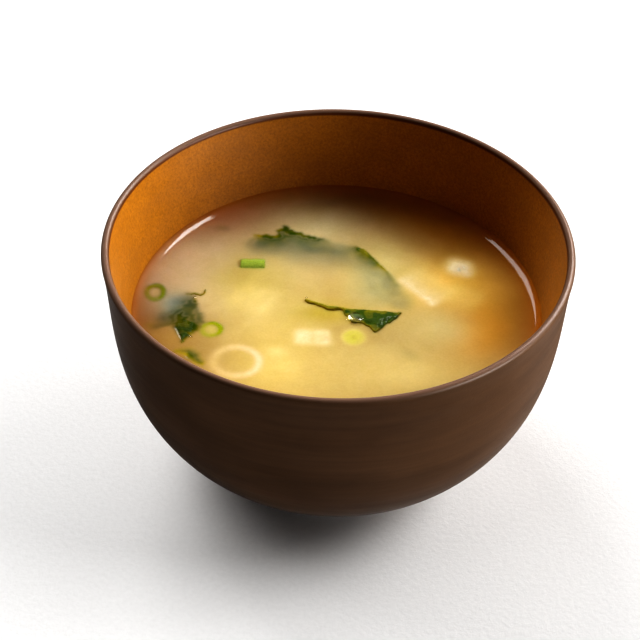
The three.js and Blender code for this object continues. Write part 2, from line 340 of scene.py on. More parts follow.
# %% [markdown]
# ## Leaves of wakame
#
# Wakame is a thin, dark green sea plant with torn, ruffled edges. In soup it softens: one crisp
# edge lies at the surface and the blade sinks away from it. It could be a flat plane with a Cloth
# simulation, but a leaf in broth barely hangs, so a ruled form is surer. A smooth curve through a
# few places is the crisp edge. The blade reaches from it to one side: slowly at first and then
# faster it sinks to its far border, and it rises and falls in a few waves. Noise tears the edge.
# The top and the underside share their border points, which makes the leaf one closed skin. Its
# paint is olive at the thin border and dark green further in.

# %% A smooth curve through points
BELOW_RIM = 22.7
LEVEL = HEIGHT - BELOW_RIM


def smooth_through(points, u):
    """Places on a smooth curve through the points, at shares u of the way from first to last."""
    points = np.asarray(points, float)
    last = len(points) - 1
    padded = np.vstack([2 * points[0] - points[1], points, 2 * points[-1] - points[-2]])
    place = np.clip(u, 0, 1) * last
    part = np.minimum(place.astype(int), last - 1)
    f = (place - part)[:, None]
    p0, p1, p2, p3 = (padded[part + k] for k in range(4))
    pairs = ((p0, p1), (p1, p2), (p2, p3))
    d0, d1, d2 = (np.sqrt(np.linalg.norm(b - a, axis=1))[:, None] for a, b in pairs)
    leaving = ((p1 - p0) / d0 - (p2 - p0) / (d0 + d1) + (p2 - p1) / d1) * d1
    arriving = ((p2 - p1) / d1 - (p3 - p1) / (d1 + d2) + (p3 - p2) / d2) * d1
    bend = 3 * (p2 - p1) - 2 * leaving - arriving
    twist = 2 * (p1 - p2) + leaving + arriving
    return p1 + leaving * f + bend * f**2 + twist * f**3


def between(values, u):
    """A value between the entries of an evenly spaced list, eased from one to the next."""
    x = np.clip(u, 0, 1) * (len(values) - 1)
    i = np.minimum(x.astype(int), len(values) - 2)
    f = x - i
    low, high = np.asarray(values, float)[i], np.asarray(values, float)[i + 1]
    return low + (high - low) * f * f * (3 - 2 * f)


# %% The form of a leaf
WAKAME_DARK = np.array(colour(62, 85, 10))
WAKAME_OLIVE = np.array(colour(162, 146, 30))
OLIVE_BORDER = 1.6


def raggedness(long, seed):
    """How far an edge strays from its smooth curve, from -1 to 1, at those distances along it."""
    coarse = [noise.noise(Vector((x * 0.55, seed, 0))) for x in long]
    fine = [noise.noise(Vector((x * 1.7, seed, 9))) for x in long]
    return np.array(coarse) * 1.3 + np.array(fine) * 0.7


def leaf_form(
    edge,
    reach,
    far,
    curl,
    frill,
    waves,
    teeth,
    thick=0.6,
    ragged=(0.4, 0.4),
    olive=(1, 1),
    shade=1,
    sinking=2.2,
    along=260,
    across=28,
):
    """Points, faces and paint of a leaf. Heights count from the level of the broth."""
    u = np.linspace(0, 1, along + 1)
    v = np.linspace(0, 1, across + 1)
    on_edge = smooth_through(edge, u)
    ahead = smooth_through(edge, u + 1e-3) - smooth_through(edge, u - 1e-3)
    ahead[:, 2] = 0
    ahead /= np.linalg.norm(ahead, axis=1, keepdims=True)
    inward = np.stack([ahead[:, 1], -ahead[:, 0]], axis=1)
    long = length_along(on_edge)
    on_edge[:, :2] += inward * (raggedness(long, edge[0][0]) * between(ragged, u))[:, None]
    width = between(reach, u) + teeth * np.sin(u * waves * 9 + np.sin(u * waves * 5))
    middle = np.empty((along + 1, across + 1, 3))
    middle[..., :2] = on_edge[:, None, :2] + inward[:, None, :] * (width[:, None] * v)[..., None]
    wave = frill * np.sin(u[:, None] * waves * 2 * math.pi + v * 2) * (0.4 + 0.6 * v)
    sunk_share = v**sinking
    slope = on_edge[:, 2:] * (1 - sunk_share) + between(far, u)[:, None] * sunk_share
    arch = between(curl, u)[:, None] * np.sin(v * math.pi)
    middle[..., 2] = LEVEL + slope + arch + wave
    to_side = np.minimum(v, 1 - v) * width[:, None]
    to_end = (np.minimum(u, 1 - u) * long[-1])[:, None]
    blunt = np.clip(np.minimum(to_side, to_end) / (thick / 2), 0, 1)
    half = thick / 2 * np.sqrt(1 - (1 - blunt) ** 2)
    for i, j in np.ndindex(half.shape):
        middle[i, j, 2] += 0.1 * noise.noise(Vector(middle[i, j]) * 0.9) * blunt[i, j]
    points, faces = shell_of(middle, half)
    border = np.clip(1.1 - np.minimum(to_side, to_end) / OLIVE_BORDER, 0, 1) * between(olive, u)[:, None]
    paint = leaf_paint(points, np.concatenate([border.ravel(), border[1:-1, 1:-1].ravel()]))
    return points, faces, paint * shade


def leaf_paint(points, border):
    """Olive at a thin border, dark green further in, in soft patches."""
    patches = np.array([noise.noise(Vector(point) * 0.42) for point in points])
    share = border * 0.75 + np.clip(patches * 1.6, -0.3, 0.22)
    return WAKAME_DARK + (WAKAME_OLIVE - WAKAME_DARK) * np.clip(share, 0, 1)[:, None]


def shell_of(middle, half):
    """A closed skin half a thickness above and below a grid of points, joined at its border."""
    rows, columns = half.shape
    top = np.arange(rows * columns).reshape(rows, columns)
    below = top.copy()
    below[1:-1, 1:-1] = top.size + np.arange((rows - 2) * (columns - 2)).reshape(rows - 2, -1)
    upper, lower = middle.copy(), middle.copy()
    upper[..., 2] += half
    lower[..., 2] -= half
    points = np.vstack([upper.reshape(-1, 3), lower[1:-1, 1:-1].reshape(-1, 3)])
    faces = []
    for i in range(rows - 1):
        for j in range(columns - 1):
            faces.append((top[i, j], top[i, j + 1], top[i + 1, j + 1], top[i + 1, j]))
            faces.append((below[i, j], below[i + 1, j], below[i + 1, j + 1], below[i, j + 1]))
    return points, np.array(faces).tolist()


# %% [markdown]
# ## The finish of wet wakame
#
# A wakame blade is almost black-green where it is thick and olive where light comes through a thin
# edge, and a film of broth makes it glossy. A little subsurface light gives the thin places their
# glow, and a clear coat gives the film of broth, whose sharp glints sit over the leaf's duller
# skin. The same recipe, with other numbers, serves for stems and tofu.

# %% Wet food
def wet_finish(name, grain, relief, film, depth_of_light, **sockets):
    """Food that shows its own paint, broken up by fine grain, under a thin film of broth."""
    finish, tree, shader = new_finish(
        name,
        Roughness=0.4,
        IOR=1.4,
        Subsurface_Radius=(1.0, 0.8, 0.4),
        Subsurface_Scale=depth_of_light * MM,
        Coat_Weight=film,
        Coat_Roughness=0.08,
        Coat_IOR=1.34,
        **sockets,
    )
    paint = add_attribute(tree, "paint", "Color")
    fine = add_noise(tree, grain, detail=4, roughness=0.6)
    fleck = add_ramp(tree, fine, [(0.3, (0.72, 0.74, 0.7)), (0.7, (1, 1, 1))])
    mottled = add_mix(tree, 1.0, paint, fleck, "MULTIPLY")
    tree.links.new(mottled, shader.inputs["Base Color"])
    add_bump(tree, shader, fine, relief)
    return finish


wakame = wet_finish("wakame", 0.6, 0.12, 0.2, 1, Subsurface_Weight=0.2, Specular_IOR_Level=0.3)

# %% Leaves that break the surface
LEAVES = {
    "ribbon": dict(
        edge=[
            (-23.6, 27.4, -1.3),
            (-22.2, 30.8, -0.3),
            (-17.8, 30.5, -0.3),
            (-15, 34.8, -0.33),
            (-11.8, 32.9, -0.24),
            (-5, 30, -0.45),
            (1, 27.5, -1.8),
            (5.6, 26, -0.15),
            (9.8, 21.2, -0.15),
            (13, 16, -0.35),
            (16.2, 10.4, -1.2),
        ],
        reach=[2, 7, 9, 11, 10, 8, 6, 4.4, 3, 1.9, 0.8],
        far=[-3.4, -3.8, -3.6, -3.5, -3.4, -3.4, -3.2, -2.6, -2.4, -2.2, -1.8],
        curl=[0, 0],
        # Painted light: the ribbon's paint is lightened where the rising broth shades its crisp edge.
        shade=1.3,
        sinking=1.9,
        frill=0.12,
        waves=6,
        teeth=0.4,
        ragged=[0.5, 0.9, 0.9, 0.9, 0.7, 0.6, 0.6, 0.4, 0.35, 0.3, 0.2],
        olive=[1, 1.2, 1, 0.1, 0, 0, 0.4, 0.7, 0.8, 0.8, 0.6],
    ),
    "flap": dict(
        edge=[
            (-8, 4.2, 0),
            (-2.6, 2.1, 0.05),
            (3, 0.9, 0.05),
            (10.2, 0.3, 0.15),
            (16.4, -0.1, -0.25),
        ],
        reach=[0.6, 1, 1.3, 1.4, 1.4, 1.3, 1.2, 1.2, 2.8, 5.4, 5.6, 6.6, 8.2, 6.6, 4.8, 2.6, 0.4],
        far=[0, 0, 0, 0, -0.1, -0.15, 0.05, -0.1, -0.3],
        curl=[0.2, 0.2],
        frill=0.08,
        waves=3,
        teeth=0.3,
        ragged=[0.2, 0.3, 0.2, 0.2],
        olive=[1.8, 1.8, 0.9, 0.6, 0.6],
    ),
    "clump": dict(
        edge=[
            (-37.4, 6.2, -1.4),
            (-35.8, 3.2, -0.35),
            (-34.2, -1.6, -0.8),
            (-32.9, -6, -0.8),
            (-35, -9.8, -0.32),
            (-37.4, -14.2, -0.3),
        ],
        reach=[5.4, 8.8, 12, 13.4, 7.4, 1.8],
        far=[-2.8, -2.4, -2, -1.8, -0.9, -0.7],
        curl=[-0.3, -0.2, 0.5, 0.5, 0.4, 0.1],
        shade=0.72,
        sinking=4,
        frill=0.12,
        waves=2,
        teeth=1,
        ragged=[0.9, 0.5, 0.8, 0.9, 0.7],
        olive=[0, 1, 0, 0, 0.8, 1.2],
    ),
    "scrap": dict(
        edge=[(-32.5, -22.1, -0.38), (-34.9, -20.5, -0.36), (-37.2, -18.5, -0.36), (-40, -17, -0.38)],
        reach=[1.6, 3.4, 3.6, 1.6],
        far=[-0.9, -1.4, -1.4, -0.9],
        curl=[0.1, 0.1],
        frill=0.1,
        waves=2,
        teeth=0.15,
        ragged=[0.2, 0.4, 0.3, 0.2],
        olive=[1.3, 1.3, 1.3],
    ),
}
floating = []
for name, leaf in LEAVES.items():
    points, faces, paint = leaf_form(**leaf)
    blade = add_piece(f"wakame_blade_{name}", points, faces, wakame, "wakame", [f"wakame_{name}"], paint)
    floating.append(blade)

TENDRIL = dict(
    edge=[(-38.8, 5.7, -0.5), (-36.8, 5.7, -0.3), (-35, 5.4, -0.15), (-33.7, 7.2, -0.1)],
    reach=[0.9, 0.8, 0.6, 0.3],
    far=[-0.4, 0, 0.1, 0.2],
    curl=[0, 0],
    frill=0,
    waves=0,
    teeth=0,
    thick=0.5,
    along=60,
    across=10,
)
points, faces, paint = leaf_form(**TENDRIL)
floating.append(add_piece("wakame_tendril", points, faces, wakame, "wakame", paint=paint))

# %% [markdown]
# ## Cut scallion and leek
#
# A scallion is a stack of green tubes, and a slice of one is a short ring, with a paler sheath
# inside it. Its skin is a deep green, the cut wall is lighter, and further down the stem everything
# turns to a pale yellow. A ring could be a squashed torus, but a cut ring has flat faces with a
# soft edge, so its section is a rounded rectangle, spun into an oval. Each point carries how far it
# is towards the outer skin, and the colours follow that. The two inner sheaths lie a little deeper
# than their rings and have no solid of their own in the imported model.

# %% The form of a cut ring
def ring_section(radius, wall, height, corner, points=7):
    """A rounded rectangle, the section of a sliced tube, from its outer side round to its inner."""
    half, inside = height / 2, radius - wall
    centres = (
        (radius - corner, half - corner, 0),
        (inside + corner, half - corner, 90),
        (inside + corner, corner - half, 180),
        (radius - corner, corner - half, 270),
    )
    section = []
    for r, z, start in centres:
        for turn in np.radians(np.linspace(start, start + 90, points)):
            section.append((r + corner * math.cos(turn), z + corner * math.sin(turn)))
    return np.array(section)


def ring_form(radius, wall, height, oval, at, tilt, unevenness=0.05, around=120):
    """Points and faces of a ring, and how near each point is to the outer skin, from 0 to 1."""
    section = ring_section(radius, wall, height, min(wall, height) * 0.3)
    tipping = np.array(Euler((math.radians(tilt[0]), math.radians(tilt[1]), 0), "XYZ").to_matrix())
    points, skin = [], []
    for i in range(around):
        turn = 2 * math.pi * i / around
        sway = 1 + unevenness * noise.noise(Vector((math.cos(turn), math.sin(turn), at[0])) * 1.3)
        for r, z in section:
            x, y = r * sway * math.cos(turn) * oval, r * sway * math.sin(turn) / oval
            points.append(tipping @ (x, y, z * sway))
            skin.append((r - radius + wall) / wall)
    count = len(section)
    faces = []
    for i in range(around):
        here, there = i * count, (i + 1) % around * count
        for k in range(count):
            nxt = (k + 1) % count
            faces.append((here + k, there + k, there + nxt, here + nxt))
    return np.array(points) + (at[0], at[1], LEVEL + at[2]), faces, skin


# %% Scallion and pale stem finishes
scallion = wet_finish("scallion", 0.45, 0.06, 0.4, 1.5, Subsurface_Weight=0.3)
pale_stem = wet_finish("pale_stem", 0.5, 0.06, 0.4, 2, Subsurface_Weight=0.4)


def stem_paint(skin, core, flesh, outer):
    """Paint for points that lie from 0, the inside of the stem's wall, to 1, its outer skin."""
    places, stops = (0.0, 0.3, 0.65, 0.95), (core, flesh, flesh, outer)
    return np.stack([np.interp(skin, places, [stop[k] for stop in stops]) for k in range(3)], axis=1)


STEM_COLOURS = {
    "green": (colour(146, 156, 60), colour(128, 150, 24), colour(104, 132, 8)),
    "yellow_green": (colour(190, 184, 80), colour(160, 168, 14), colour(134, 146, 0)),
    "pale": (colour(196, 192, 62), colour(196, 192, 68), colour(222, 206, 132)),
    "white": (colour(226, 204, 164), colour(232, 212, 186), colour(228, 204, 168)),
    "sheath": (colour(206, 196, 112), colour(206, 196, 112), colour(180, 178, 84)),
    "tube": (colour(180, 196, 84), colour(196, 206, 98), colour(164, 184, 76)),
}

# %% Rings in the broth
RINGS = {
    "scallion_ring_rim": dict(
        radius=3.35, wall=1.9, height=2.2, oval=0.88, at=(-46.5, 5.6, -1.15), tilt=(2, -2)
    ),
    "scallion_ring_leaning": dict(
        radius=3.05, wall=1.45, height=2, oval=1, at=(-31.1, -8.3, -1.1), tilt=(4, -6)
    ),
    "scallion_pale": dict(radius=3.2, wall=3.1, height=2.6, oval=1, at=(4.4, -9.9, -1.5), tilt=(2, 2)),
    "leek_ring": dict(radius=6.4, wall=1.9, height=1.8, oval=1.04, at=(-24.3, -20, -1.75), tilt=(1, -5)),
}
SHEATHS = {
    "scallion_sheath_rim": dict(
        radius=1.9, wall=1.7, height=2, oval=0.88, at=(-46.5, 5.6, -2), tilt=(2, -2)
    ),
    "scallion_sheath_leaning": dict(
        radius=1.85, wall=1.6, height=2, oval=1, at=(-31, -8.5, -1.9), tilt=(3, -5)
    ),
}
RING_FINISH = {
    "scallion_ring_rim": (scallion, "scallion", "green"),
    "scallion_ring_leaning": (scallion, "scallion", "yellow_green"),
    "scallion_pale": (pale_stem, "pale_stem", "pale"),
    "leek_ring": (pale_stem, "pale_stem", "white"),
}
for name, ring in RINGS.items():
    finish, slot, look = RING_FINISH[name]
    points, faces, skin = ring_form(**ring)
    paint = stem_paint(skin, *STEM_COLOURS[look])
    floating.append(add_piece(f"{name}_slice", points, faces, finish, slot, [name], paint))
for name, ring in SHEATHS.items():
    points, faces, skin = ring_form(**ring)
    paint = stem_paint(skin, *STEM_COLOURS["sheath"])
    floating.append(add_piece(f"{name}_slice", points, faces, scallion, "scallion", paint=paint))

# %% [markdown]
# ## A length of scallion on its side
#
# One cut is longer than it is wide, so it lies down and floats like a log, pressed a little flat.
# It is a turned form as well, spun about its own length: a tube whose ends are hollowed.

# %% The scallion tube
BARREL_FROM_END = 0.4
TUBE = dict(length=6.3, wide=4.1, tall=2.7, dimple=0.35, wall=0.55, at=(-22.2, 18.2, -0.7), turn=1)


def tube_form(length, wide, tall, dimple, wall, at, turn, around=72):
    """Points, faces and skin of a short tube on its side, with a closed dimple in each end."""
    half, radius, bore, soft = length / 2, wide / 2, wide / 2 - wall, 0.12
    one_end = [(0, -half + dimple), (bore * 0.6, -half + dimple), (bore, -half + dimple - soft)]
    one_end += [(bore, -half + soft), (bore + soft, -half), (radius - soft, -half), (radius, -half + soft)]
    places = np.linspace(BARREL_FROM_END - half, half - BARREL_FROM_END, 19)
    barrel = [(radius + 0.03 * math.sin(k * 0.7), x) for k, x in enumerate(places)]
    section = np.array(one_end + barrel + [(r, -x) for r, x in reversed(one_end)])
    points, faces = turned(section, around)
    rings = np.repeat(section[1:-1, 0], around)
    skin = np.clip((np.concatenate([rings, [0, 0]]) - bore) / wall, 0, 1)
    lying = np.stack([points[:, 2], points[:, 0], points[:, 1] * tall / wide], axis=1)
    turning = np.array(Euler((0, 0, math.radians(turn)), "XYZ").to_matrix())
    return lying @ turning.T + (at[0], at[1], LEVEL + at[2]), faces, skin


points, faces, skin = tube_form(**TUBE)
paint = stem_paint(skin, *STEM_COLOURS["tube"])
tube = add_piece("scallion_tube_slice", points, faces, scallion, "scallion", ["scallion_tube"], paint)
floating.append(tube)

# %% [markdown]
# ## Tofu
#
# Silken tofu is cut into blocks by hand, and its corners wear round in the pot. A cube with a
# Bevel modifier would have flat faces and even corners. Here a finely divided cube is squeezed
# into a block with round edges, its corners are pulled out of square, and its faces are made
# slightly uneven by noise, as a wet knife leaves them.

# %% The form of a tofu block
GROOVE_WIDTH = 0.7


def tofu_form(along, across, deep, skew, at, turn, tilt, ease=0.9, cuts=22, roughness=0.14, groove=0):
    """Points and faces of a hand-cut block. A tilt below 0 raises its front side, before the turn."""
    block = bmesh.new()
    bmesh.ops.create_cube(block, size=2)
    bmesh.ops.subdivide_edges(block, edges=block.edges[:], cuts=cuts, use_grid_fill=True)
    half = np.array([along, across, deep]) / 2
    placing = Euler((math.radians(tilt), 0, math.radians(turn)), "XYZ").to_matrix()
    points = []
    for corner in block.verts:
        full = np.array(corner.co) * half
        core = np.clip(full, ease - half, half - ease)
        out = full - core
        length = np.linalg.norm(out)
        x, y, z = core + out * (ease / length if length else 1)
        x -= skew * y / half[1] * 0.5
        y -= skew * x / half[0] * 0.5
        z -= groove * math.exp(-((x / GROOVE_WIDTH) ** 2)) * (z > 0)
        bulge = 1 + roughness * noise.noise(Vector((x, y, z)) * 0.45 + Vector(at)) * 0.35
        pits = roughness * noise.noise(Vector((x, y, z)) * 1.9)
        point = placing @ (Vector((x, y, z)) * bulge + Vector(out).normalized() * pits)
        points.append(point + Vector((at[0], at[1], LEVEL + at[2])))
    faces = [[v.index for v in face.verts] for face in block.faces]
    block.free()
    return points, faces


# %% [markdown]
# Tofu is milky: light goes a few millimetres in before it comes out again. That is what the
# subsurface part of the shader is for. Its radius is longer for red than for blue, which keeps the
# edges of a block warm and bright.

# %% Tofu finish and blocks
TOFU_PAINT = np.array(colour(255, 238, 196))
tofu = wet_finish("tofu", 1.1, 0.1, 0.3, 3, Subsurface_Weight=0.6)
TOFU = {
    "front": dict(
        along=10.2, across=6.6, deep=8, skew=0.4, at=(-5.8, -10.3, -4.3), turn=2, tilt=0, ease=1.6, groove=0.4
    ),
    "edge": dict(
        along=14.6, across=10.5, deep=8.5, skew=0.6, at=(22.5, 10.5, -5.3), turn=-46.5, tilt=-18, ease=1.5
    ),
    "right": dict(along=9, across=8.4, deep=7, skew=0.7, at=(31.8, 18.8, -3.4), turn=-14, tilt=-3, ease=3.2),
}
# Painted shade: the sunk blocks are painted darker.
SUNK_PAINTED_SHADE = 0.86
# Painted light and shade: each floating block is painted lighter or darker for the light on it, the right one
# brightest.
TOFU_PAINTED_LIGHT = {"front": 0.8, "edge": 0.93, "right": 1}


def add_tofu(name, block, shade, stands_for=()):
    """A block of tofu, its paint lightened or darkened by the painted light and shade it is given."""
    points, faces = tofu_form(**block)
    paint = np.tile(TOFU_PAINT * shade, (len(points), 1))
    return add_piece(name, points, faces, tofu, "tofu", stands_for, paint)


for name, block in TOFU.items():
    floating.append(add_tofu(f"tofu_block_{name}", block, TOFU_PAINTED_LIGHT[name], [f"tofu_{name}"]))

# %% [markdown]
# ## What lies sunk in the broth
#
# Some tofu and seaweed never reach the surface, and show only as soft shapes in the cloud: four
# blocks, two large blades and three small flecks. They are made like the rest, a few millimetres
# lower, so that the broth has something real to veil.

# %% Sunk tofu and seaweed
SUNK_TOFU = {
    "middle": dict(along=11, across=12, deep=8, skew=0.8, at=(-21, 3.9, -6.1), turn=66, tilt=-7, ease=2),
    "small": dict(along=5.6, across=5, deep=5, skew=0.5, at=(-14.6, -16.2, -4.1), turn=18, tilt=4, ease=2),
    "low": dict(along=12, across=9, deep=6, skew=0.5, at=(-14, -23, -6), turn=12, tilt=4, ease=2),
    "beside": dict(along=11, across=10, deep=6, skew=0.5, at=(32, 6.5, -5.6), turn=-30, tilt=4, ease=2),
}
FLECK = dict(curl=[0.1, 0.1], frill=0, waves=1, teeth=0.1, thick=0.4, along=60, across=10)
SUNK_LEAVES = {
    "ribbon": dict(
        edge=[
            (-25, 27, -1.9),
            (-14.5, 30, -1.7),
            (-4, 27, -1.9),
            (6, 23, -1.9),
            (12, 15.8, -1.8),
            (15.8, 9.4, -1.8),
        ],
        reach=[5, 11, 11, 8, 4.6, 4],
        far=[-3.4, -4.2, -4.6, -4.2, -3.6, -3],
        curl=[0.2, 0.2],
        frill=0.25,
        waves=3,
        teeth=0.4,
        thick=0.5,
    ),
    "wide": dict(
        edge=[
            (6.4, 24.6, -0.9),
            (10, 20.2, -1.3),
            (13.6, 15, -1.8),
            (16.8, 9.8, -2),
            (19.6, 4.4, -2.1),
            (18.4, 0.6, -2.2),
        ],
        reach=[5, 10, 14, 16, 14, 7],
        far=[-3.4, -4.6, -5.4, -5.8, -5, -3.6],
        curl=[0.2, 0.2],
        frill=0.3,
        waves=2,
        teeth=0.3,
        thick=0.5,
    ),
    "fleck_back": dict(
        edge=[(-33.4, 33.6, -1.5), (-31, 34, -1.3), (-29, 32.8, -1.6)],
        reach=[1, 2, 1],
        far=[-1.8, -1.9, -1.8],
        **FLECK,
    ),
    "fleck_front": dict(
        edge=[(16.2, -14, -2.4), (18.6, -15.2, -2.2), (21, -17.4, -2.5)],
        reach=[0.8, 1.4, 0.8],
        far=[-2.6, -2.6, -2.6],
        **FLECK,
    ),
    "fleck_left": dict(
        edge=[(-48, -6.4, -1.3), (-46, -7, -1.1), (-44.4, -8.4, -1.3)],
        reach=[1, 1.6, 1],
        far=[-1.6, -1.6, -1.6],
        **FLECK,
    ),
}
sunk = []
for name, block in SUNK_TOFU.items():
    sunk.append(add_tofu(f"tofu_sunk_{name}", block, SUNK_PAINTED_SHADE))
for name, leaf in SUNK_LEAVES.items():
    points, faces, paint = leaf_form(**leaf)
    sunk.append(add_piece(f"wakame_sunk_{name}", points, faces, wakame, "wakame", paint=paint))

# %% [markdown]
# ## Looking down through the broth
#
# Miso broth is full of fine particles. What lies in it fades with depth and its outline goes soft.
# A real volume of scattering would show that, but it is slow to render and is lost when the model
# is exported. So the veil is worked out here, once: straight down from every quarter millimetre
# of the surface, a ray asks what lies below and how deep. What was found is cut into slices by its
# depth. The deeper a slice lies, the softer its blur and the more it fades into the broth, red the
# slowest and blue the fastest. The result is a colour that each point of the surface carries.

# %% Ask what lies below
PITCH = 0.25
SOUP_RADIUS = 52.5
RAY_START = 5
grid_side = int(2 * SOUP_RADIUS / PITCH) + 1
grid_places = -SOUP_RADIUS + PITCH * np.arange(grid_side)


def look_down(piece, depth, paint):
    """Where the piece lies above all that was found so far, note its depth and its paint."""
    mesh = piece.data
    corners = [face.vertices[:] for face in mesh.polygons]
    tree = BVHTree.FromPolygons([v.co for v in mesh.vertices], corners)
    own = np.empty(4 * len(mesh.vertices))
    mesh.attributes["paint"].data.foreach_get("color", own)
    own = own.reshape(-1, 4)[:, :3]
    low, high = (np.array(corner) / MM for corner in (piece.bound_box[0], piece.bound_box[6]))
    first = np.maximum(np.searchsorted(grid_places, low[:2]) - 1, 0)
    last = np.minimum(np.searchsorted(grid_places, high[:2]) + 1, grid_side)
    above = (LEVEL + RAY_START) * MM
    for i in range(first[0], last[0]):
        for j in range(first[1], last[1]):
            place = Vector((grid_places[i] * MM, grid_places[j] * MM, above))
            hit, _, face, _ = tree.ray_cast(place, Vector((0, 0, -1)))
            if hit is not None and LEVEL - hit.z / MM < depth[i, j]:
                depth[i, j] = LEVEL - hit.z / MM
                paint[i, j] = own[corners[face][0]]


def looked_down_on(pieces):
    """Depth and paint of the uppermost of those pieces, for each place of the grid."""
    depth = np.full((grid_side, grid_side), np.inf)
    paint = np.zeros((grid_side, grid_side, 3))
    for piece in pieces:
        look_down(piece, depth, paint)
    return depth, paint


layers = [looked_down_on(floating), looked_down_on(sunk)]
print("looked down on", len(floating) + len(sunk), "pieces from", grid_side**2, "places")


# %% Blur a grid
def blurred(grid, radius):
    """The grid smoothed by a bell curve of that radius in millimetres, along X and then along Y."""
    reach = max(1, int(round(3 * radius / PITCH)))
    bell = np.exp(-0.5 * (np.arange(-reach, reach + 1) * PITCH / radius) ** 2)
    bell /= bell.sum()
    rows = np.array([np.convolve(row, bell, mode="same") for row in grid])
    return np.array([np.convolve(column, bell, mode="same") for column in rows.T]).T


# %% [markdown]
# The broth itself isn't even either: the miso drifts in pale clouds and is clearer and more golden
# between them. Over that, dark ovals at the back are painted shade of the rim, and a bright golden
# oval on the right is painted light. Each oval is given by the place of its middle, how far it
# reaches along X and along Y, and its colour. One is laid over the other.

# %% Clouds of miso
BROTH = np.array(colour(112, 79, 39))
GOLD = np.array(colour(204, 180, 103))
STRAW = np.array(colour(217, 195, 130))
DEEP_GOLD = np.array(colour(172, 154, 10))
# Painted light: a brighter gold where more light falls on the right of the broth.
LIT_GOLD = np.array(colour(252, 205, 103))
AMBER_BROTH = np.array(colour(220, 154, 20))
# Painted shade of the rim at the back.
RIM_SHADE_AMBER = np.array(colour(174, 111, 10))
# Painted shade of the rim at the back left.
RIM_SHADE_RUSSET = np.array(colour(166, 68, 18))
MILK = np.array(colour(232, 212, 182))
CREAM = np.array(colour(238, 222, 174))
PALE_STRAW = np.array(colour(214, 194, 136))
PALE_CREAM = np.array(colour(229, 212, 148))
DULL_GOLD = np.array(colour(197, 177, 105))
CHESTNUT = np.array(colour(172, 144, 86))
SEA_GREY = np.array(colour(170, 180, 160))
CLOUDS_LIGHT_AND_SHADE = [
    (6, -48, 70, 16, STRAW),
    (-14.7, -5.4, 18.2, 38.8, GOLD),
    (18.9, -21.9, 36, 14.3, STRAW),
    (-3.1, -0.4, 9.1, 4, DEEP_GOLD),
    # Painted light on the right of the broth.
    (24.5, 11.1, 20, 13.2, LIT_GOLD),
    (34.2, -5.6, 9.3, 11, AMBER_BROTH),
    # The next two ovals are painted shade of the rim.
    (14.1, 45.8, 57.3, 16.4, RIM_SHADE_AMBER),
    (-32.4, 37.7, 14.5, 10.7, RIM_SHADE_RUSSET),
    (-33.9, 17.1, 25.1, 20.3, MILK),
    (-6.9, 34.4, 14.5, 12.5, CREAM),
    (25.4, -6, 10.4, 9.5, PALE_STRAW),
    (11.1, 14.1, 10.5, 16.6, PALE_CREAM),
    (-22.4, 10.9, 13.7, 16, DULL_GOLD),
    (-41.4, -11.8, 9.5, 7, CHESTNUT),
    (-41.6, 1, 3.6, 5, SEA_GREY),
]


def clouded_lit_and_shaded():
    """The colour of the broth over the grid, with the painted shade of the rim and painted light."""
    x, y = np.meshgrid(grid_places, grid_places, indexing="ij")
    base = np.tile(BROTH, (grid_side, grid_side, 1))
    for at_x, at_y, wide, deep, tint in CLOUDS_LIGHT_AND_SHADE:
        share = np.exp(-(((x - at_x) / wide) ** 2) - ((y - at_y) / deep) ** 2)
        base += (tint - base) * share[..., None]
    return base


# %% Veil each depth
FADE = np.array([2.2, 2, 1.25])
ABOVE_ALL = -9
SLICES = [0.1, 0.3, 0.5, 0.75, 1, 1.3, 1.7, 2.2, 2.8, 3.5, 4.4, 5.6, 7]
SHARPEST = 0.22
BLUR_PER_DEPTH = 0.42


def veil(seen, depth, paint):
    """Lay one layer of pieces into the colour of the surface, from its deepest slice up."""
    for near, far in reversed(list(zip([ABOVE_ALL] + SLICES[:-1], SLICES))):
        deep = max(0, (near + far) / 2)
        covered = ((depth > near) & (depth <= far)).astype(float)
        if not covered.any():
            continue
        radius = SHARPEST + BLUR_PER_DEPTH * deep
        share = blurred(covered, radius)
        tint = np.stack([blurred(covered * paint[..., k], radius) for k in range(3)], axis=2)
        tint /= np.maximum(share, 1e-6)[..., None]
        seen += (tint - seen) * share[..., None] * np.exp(-deep / FADE)


seen_grid = clouded_lit_and_shaded()
for depth, paint in reversed(layers):
    veil(seen_grid, depth, paint)
print("colour at the middle of the broth:", seen_grid[grid_side // 2, grid_side // 2].round(3))

# %% [markdown]
# ## The broth
#
# The broth fills the bowl up to its level and creeps up the wall in a thin rising edge, and up
# whatever floats in it. Those rising edges are tiny, yet they catch the brightest lights of the
# whole bowl. A disc with a few spokes would have long thin triangles in the middle, so the surface
# is a honeycomb of rings: ring number k has six times k points, all about equally far apart, and
# the rings crowd together near the wall. Below, a plain skin follows the wall of the bowl.

# %% Rings of the broth's surface
MENISCUS_CLIMB = 1.6
MENISCUS_FALLOFF = 1.2
EDGE_DISTANCES = [0.08, 0.17, 0.27, 0.38, 0.5, 0.63, 0.77, 0.92]
EDGE_DISTANCES += [1.08, 1.25, 1.44, 1.66, 1.92, 2.2, 2.55, 2.95]
RINGS_OF_POINTS = 150
INTO_WALL = 0.05
CROWDED = 3.3
WALL_STEPS = 400

wall = handle_curve(INNER_WALL, WALL_STEPS)
contact_z = LEVEL + MENISCUS_CLIMB
contact_r = float(np.interp(-contact_z, -wall[:, 1], wall[:, 0])) + INTO_WALL
plain_rings = RINGS_OF_POINTS - len(EDGE_DISTANCES)
plain = np.linspace(0, contact_r - CROWDED, plain_rings)
ring_radii = np.concatenate([plain, contact_r - np.array(EDGE_DISTANCES[::-1]), [contact_r]])
print("the broth meets the wall at a radius of", round(contact_r, 2), "mm, at", contact_z, "mm")

